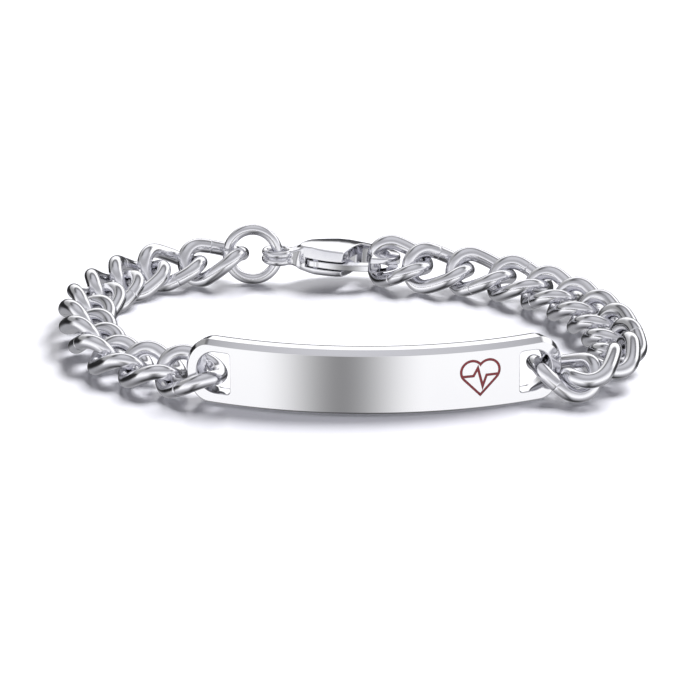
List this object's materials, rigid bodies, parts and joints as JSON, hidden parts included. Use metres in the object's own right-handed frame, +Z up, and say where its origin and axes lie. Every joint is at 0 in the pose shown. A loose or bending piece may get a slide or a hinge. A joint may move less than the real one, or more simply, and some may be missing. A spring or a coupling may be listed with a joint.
{
  "type": "medical alert bracelet",
  "caption": "Polished steel medical alert bracelet: a curved identity plate with a red heart and pulse line, curb chain sides, a jump ring and a lobster clasp, closed.",
  "frame": {"origin": "middle of the closed bracelet's bounding box, on the surface that it stands on", "axes": "+X along the bracelet's longest extent, to the right seen from the plate's face; +Y from the plate to the clasp; +Z up"},
  "size_m": [0.076, 0.0574, 0.0082],
  "materials": {
    "polished_steel": "polished stainless steel",
    "red_enamel": "gloss enamel"
  },
  "bodies": {
    "bracelet": {"id_plate": "polished_steel", "heart_inlay": "red_enamel", "right_link_1": "polished_steel", "right_link_2": "polished_steel", "right_link_3": "polished_steel", "right_link_4": "polished_steel", "right_link_5": "polished_steel", "right_link_6": "polished_steel", "right_link_7": "polished_steel", "right_link_8": "polished_steel", "right_link_9": "polished_steel", "right_link_10": "polished_steel", "right_link_11": "polished_steel", "right_link_12": "polished_steel", "left_link_1": "polished_steel", "left_link_2": "polished_steel", "left_link_3": "polished_steel", "left_link_4": "polished_steel", "left_link_5": "polished_steel", "left_link_6": "polished_steel", "left_link_7": "polished_steel", "left_link_8": "polished_steel", "left_link_9": "polished_steel", "left_link_10": "polished_steel", "left_link_11": "polished_steel", "jump_ring": "polished_steel", "clasp_body": "polished_steel", "clasp_pin": "polished_steel"},
    "gate": {"clasp_lever": "polished_steel"}
  },
  "joints": [
    {"name": "gate_hinge", "type": "hinge", "parent": "bracelet", "child": "gate", "pos_m": [-0.00449, 0.02305, 0.00348], "axis": [0.0504, 0.0013, 0.9987], "range_deg": [0, 17], "stiffness_Nm_per_rad": 0.0001, "springref_deg": -9.74}
  ]
}
